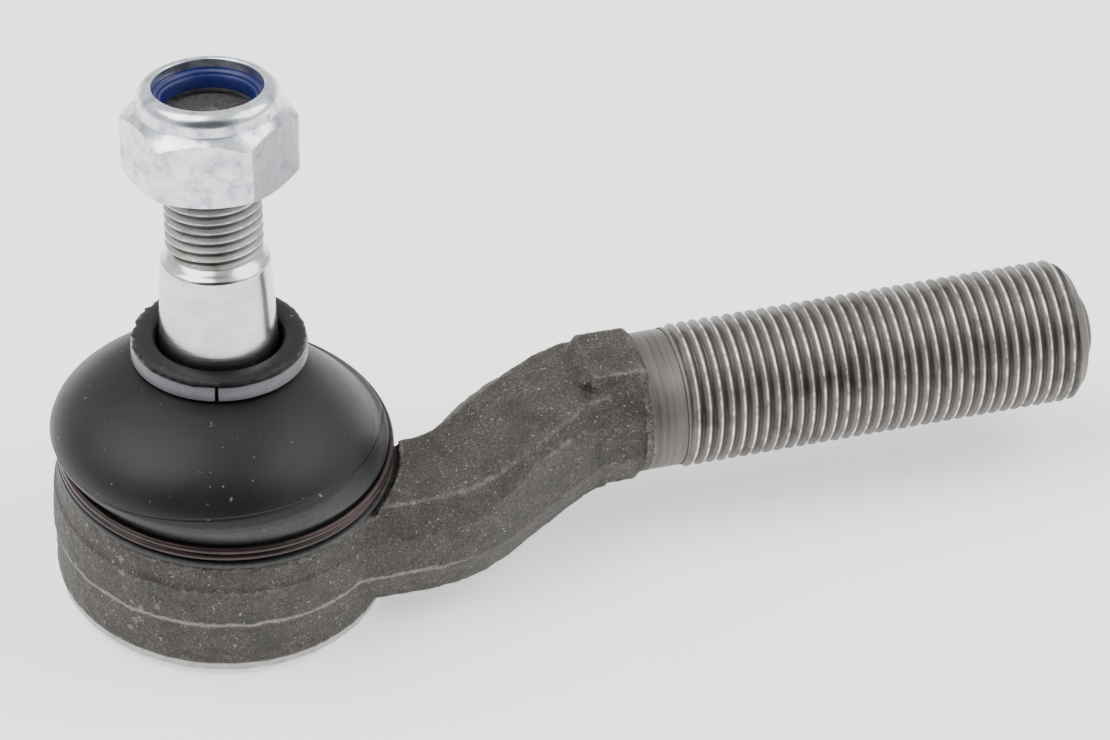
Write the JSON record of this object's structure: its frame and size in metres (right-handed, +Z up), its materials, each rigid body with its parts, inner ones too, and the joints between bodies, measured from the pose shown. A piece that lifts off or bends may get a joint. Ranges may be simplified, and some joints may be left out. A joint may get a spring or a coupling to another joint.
{
  "type": "tie rod end",
  "caption": "Cranked steering tie rod end with a sprung ball stud under a rubber boot, a tapered and threaded stud with a lock nut, and an external left-hand threaded shank.",
  "frame": {"origin": "centre of the head's rolled rim, on the plane of the rim", "axes": "+Z up out of the socket along the head's axis, +X out along the threaded shank, +Y the side the stud leans to at rest"},
  "size_m": [0.1338, 0.042, 0.0686],
  "materials": {
    "forged_steel": "as forged, dull dark grey with a fine scale texture",
    "pressed_steel": "cold pressed, plain",
    "machined_steel": "fine turned, bright",
    "zinc_steel": "bright zinc plate with a faint blue tint",
    "wire_steel": "dark brown phosphated wire",
    "boot_rubber": "satin black moulded rubber",
    "seal_rubber": "plain black",
    "clip_plastic": "dark grey moulded",
    "seat_plastic": "natural white acetal",
    "nylon": "dark blue nylon"
  },
  "bodies": {
    "housing": {"housing": "forged_steel", "cover_plate": "pressed_steel", "cover_seal_ring": "seal_rubber", "preload_spring": "pressed_steel", "boot_clamp_wire": "wire_steel"},
    "bearing": {"upper_seat": "seat_plastic", "lower_seat": "seat_plastic", "dust_boot": "boot_rubber"},
    "boot_neck": {"boot_clip_ring": "clip_plastic"},
    "stud": {"ball_stud": "machined_steel"},
    "nut_carrier": {"nylon_insert": "nylon"},
    "nut": {"lock_nut": "zinc_steel"}
  },
  "joints": [
    {"name": "stud_swing", "type": "hinge", "parent": "housing", "child": "bearing", "pos_m": [0, 0, 0.0145], "axis": [0, 0, 1], "continuous": true},
    {"name": "stud_tilt", "type": "hinge", "parent": "bearing", "child": "boot_neck", "pos_m": [0, 0, 0.0145], "axis": [1, 0, 0], "range_deg": [-13.5, 36.5], "deforming": ["dust_boot"]},
    {"name": "stud_spin", "type": "hinge", "parent": "boot_neck", "child": "stud", "pos_m": [0, 0, 0.0145], "axis": [0, 0.1994, 0.9799], "continuous": true},
    {"name": "nut_travel", "type": "slide", "parent": "stud", "child": "nut_carrier", "axis": [0, 0.1994, 0.9799], "range_m": [-0.00875, 0.0075], "deforming": ["nylon_insert"]},
    {"name": "nut_turn", "type": "hinge", "parent": "nut_carrier", "child": "nut", "pos_m": [0, 0.00897, 0.0586], "axis": [0, 0.1994, 0.9799], "range_deg": [-2592, 2232]}
  ],
  "couplings": [
    {"joint": "nut_turn", "follows": "nut_travel", "rad_per_m": 5026.5}
  ]
}
